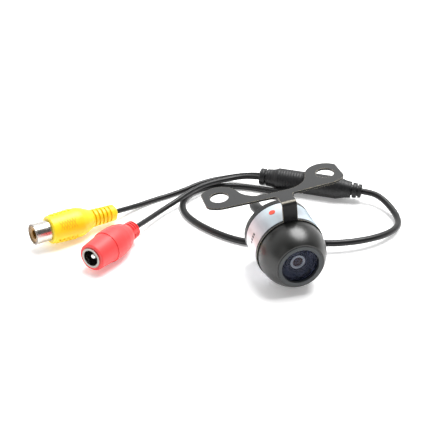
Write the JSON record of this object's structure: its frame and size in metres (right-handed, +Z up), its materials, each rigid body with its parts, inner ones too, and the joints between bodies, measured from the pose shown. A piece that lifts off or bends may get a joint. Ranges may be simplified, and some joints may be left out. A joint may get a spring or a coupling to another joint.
{
  "type": "backup camera",
  "caption": "Small round reversing camera with a domed front, clamped in a stamped two-hole bracket, with a thin lead, in-line connector and yellow video and red power sockets",
  "frame": {"origin": "On the surface that the head rests on, below the middle of the box around the camera head and its bracket; the leads are left out of that box.", "axes": "+Z is up. -Y is the way the lens looks. +X is to the right seen from behind the lens looking forwards reversed, that is to the right of a viewer who looks at the front of the lens."},
  "size_m": [0.1509, 0.0913, 0.0363],
  "materials": {
    "black_enamel": "glossy black enamel on a turned metal shell",
    "bezel_paint": "matt black paint",
    "window": "clear tinted flat glass",
    "seal_rubber": "soft black sealing rubber",
    "foil": "silver foil label with a faint coloured sheen",
    "cap_plastic": "black moulded plastic",
    "bracket_steel": "thin satin dark grey coating on stamped steel",
    "cable_pvc": "glossy black PVC",
    "connector_pvc": "satin black overmoulded PVC with fine ridges",
    "nickel": "bright nickel plating",
    "gold_contact": "gold flashed brass",
    "silver_pin": "bright nickel plated brass",
    "yellow_pvc": "satin yellow moulded PVC",
    "red_pvc": "satin red moulded PVC",
    "tan_plastic": "tan insulating plastic",
    "black_plastic": "black insulating plastic",
    "lens_metal": "machined lens tube, grey face",
    "black_metal": "black anodised",
    "lens_glass": "coated glass",
    "filter_glass": "pale blue-green filter glass",
    "silicon": "sensor package under glass",
    "board_green": "green circuit board",
    "spacer_brass": "plain brass",
    "screw_steel": "zinc plated steel",
    "chip_black": "black chip packages",
    "connector_white": "white nylon",
    "wire_jacket": "thin wire insulation"
  },
  "bodies": {
    "bracket_and_leads": {"mounting_bracket": "bracket_steel", "cable_boot": "cable_pvc", "camera_cable": "cable_pvc", "video_tail": "cable_pvc", "power_tail": "cable_pvc", "plug_overmould": "connector_pvc", "plug_shell": "nickel", "plug_seal": "seal_rubber", "plug_insert": "black_plastic", "plug_pins": "gold_contact", "socket_overmould": "connector_pvc", "socket_shell": "nickel", "socket_insert": "black_plastic", "socket_contacts": "gold_contact", "rca_overmould": "yellow_pvc", "rca_barrel": "nickel", "rca_insulator": "tan_plastic", "rca_centre_contact": "gold_contact", "dc_overmould": "red_pvc", "dc_sleeve": "nickel", "dc_insulator": "black_plastic", "dc_centre_pin": "silver_pin"},
    "head": {"barrel_housing": "black_metal", "foil_label": "foil", "rear_cap": "cap_plastic", "cap_seal": "seal_rubber", "gland_bushing": "seal_rubber", "light_shield": "black_plastic", "lens_holder": "black_plastic", "lens_barrel": "lens_metal", "lens_retainer": "black_metal", "aperture_stop": "black_metal", "lens_front_element": "lens_glass", "lens_rear_element": "lens_glass", "ir_filter": "filter_glass", "image_sensor": "silicon", "sensor_board": "board_green", "power_board": "board_green", "board_spacers": "spacer_brass", "board_screws": "screw_steel", "board_components": "chip_black", "board_connector": "connector_white", "inner_wires": "wire_jacket"},
    "cap_carrier": {"front_seal": "seal_rubber"},
    "front_cap": {"front_dome": "black_enamel", "front_bezel": "bezel_paint", "window_glass": "window", "window_gasket": "seal_rubber"}
  },
  "joints": [
    {"name": "head_roll", "type": "hinge", "parent": "bracket_and_leads", "child": "head", "pos_m": [0.00317, -0.00532, 0.0131], "axis": [0, -1, 0], "range_deg": [-180, 180]},
    {"name": "cap_travel", "type": "slide", "parent": "head", "child": "cap_carrier", "axis": [0, -1, 0], "range_m": [0, 0.0015]},
    {"name": "cap_turn", "type": "hinge", "parent": "cap_carrier", "child": "front_cap", "pos_m": [0.00317, -0.00532, 0.0131], "axis": [0, -1, 0], "range_deg": [0, 720]}
  ],
  "couplings": [
    {"joint": "cap_travel", "follows": "cap_turn", "m_per_rad": 0.00011936}
  ]
}
